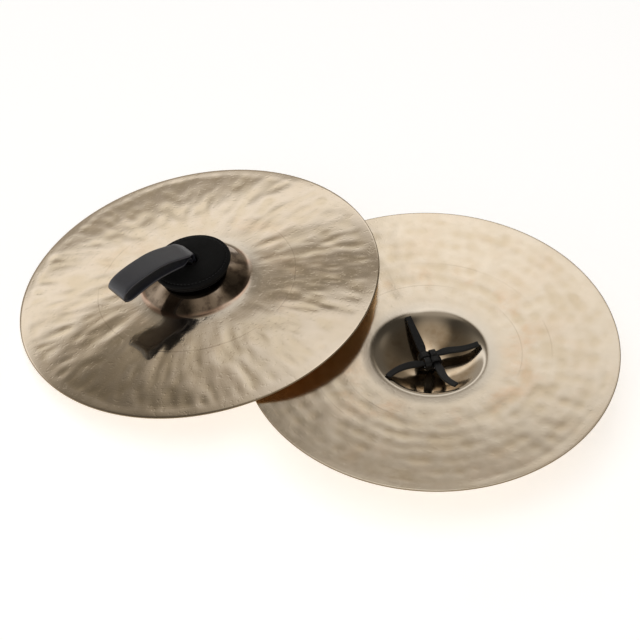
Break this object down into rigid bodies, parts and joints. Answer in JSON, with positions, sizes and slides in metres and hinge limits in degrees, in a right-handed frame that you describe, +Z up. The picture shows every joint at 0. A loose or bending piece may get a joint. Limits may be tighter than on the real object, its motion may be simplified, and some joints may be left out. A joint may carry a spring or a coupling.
{
  "type": "hand cymbals",
  "caption": "Pair of orchestral bronze hand cymbals with round pads and leather strap loops tied inside the bells, laid down one over the other.",
  "frame": {"origin": "on the table, under the middle of the pair's box", "axes": "+Z up from the table; +X along the longest side of the pair, from the raised upper cymbal towards the level lower one; +Y across, away from the side with the strap loop"},
  "size_m": [0.657, 0.5136, 0.107],
  "materials": {
    "bronze": "hammered and polished bright cast bronze, pale gold",
    "strap_leather": "satin black leather",
    "pad_leather": "matte black leather",
    "pad_felt": "dense dark felt",
    "thread": "waxed black thread"
  },
  "bodies": {
    "lower_cymbal": {"lower_cymbal_disc": "bronze"},
    "lower_knot": {"lower_strap_tongue_1": "strap_leather", "lower_strap_tongue_2": "strap_leather", "lower_strap_tongue_3": "strap_leather", "lower_strap_tongue_4": "strap_leather"},
    "lower_pad": {"lower_pad_top_cover": "pad_leather", "lower_pad_felt_core": "pad_felt", "lower_pad_bottom_cover": "pad_leather", "lower_pad_stitching": "thread"},
    "lower_strap": {"lower_strap_loop": "strap_leather"},
    "upper_cymbal": {"upper_cymbal_disc": "bronze"},
    "upper_knot": {"upper_strap_tongue_1": "strap_leather", "upper_strap_tongue_2": "strap_leather", "upper_strap_tongue_3": "strap_leather", "upper_strap_tongue_4": "strap_leather"},
    "upper_pad": {"upper_pad_top_cover": "pad_leather", "upper_pad_felt_core": "pad_felt", "upper_pad_bottom_cover": "pad_leather", "upper_pad_stitching": "thread"},
    "upper_strap": {"upper_strap_loop": "strap_leather"}
  },
  "joints": [
    {"name": "lower_strap_swivel", "type": "hinge", "parent": "lower_cymbal", "child": "lower_knot", "pos_m": [0.12532, -0.05357, 0.029], "axis": [0, 0, -1], "continuous": true},
    {"name": "lower_pad_turn", "type": "hinge", "parent": "lower_knot", "child": "lower_pad", "pos_m": [0.12532, -0.05357, 0.0185], "axis": [0, 0, -1], "continuous": true},
    {"name": "lower_strap_fold", "type": "hinge", "parent": "lower_knot", "child": "lower_strap", "pos_m": [0.12532, -0.05357, 0.015], "axis": [-0.3907, -0.9205, 0], "range_deg": [0, 85]},
    {"name": "upper_cymbal_lift", "type": "slide", "parent": "lower_cymbal", "child": "upper_cymbal", "axis": [0, 0, 1], "range_m": [0, 0.2]},
    {"name": "upper_strap_swivel", "type": "hinge", "parent": "upper_cymbal", "child": "upper_knot", "pos_m": [-0.13374, 0.0564, 0.07022], "axis": [-0.1712, 0.0727, 0.9825], "continuous": true},
    {"name": "upper_pad_turn", "type": "hinge", "parent": "upper_knot", "child": "upper_pad", "pos_m": [-0.13554, 0.05716, 0.08054], "axis": [-0.1712, 0.0727, 0.9825], "continuous": true},
    {"name": "upper_strap_fold", "type": "hinge", "parent": "upper_knot", "child": "upper_strap", "pos_m": [-0.13614, 0.05741, 0.08398], "axis": [-0.6016, 0.782, -0.1627], "range_deg": [0, 75]}
  ]
}
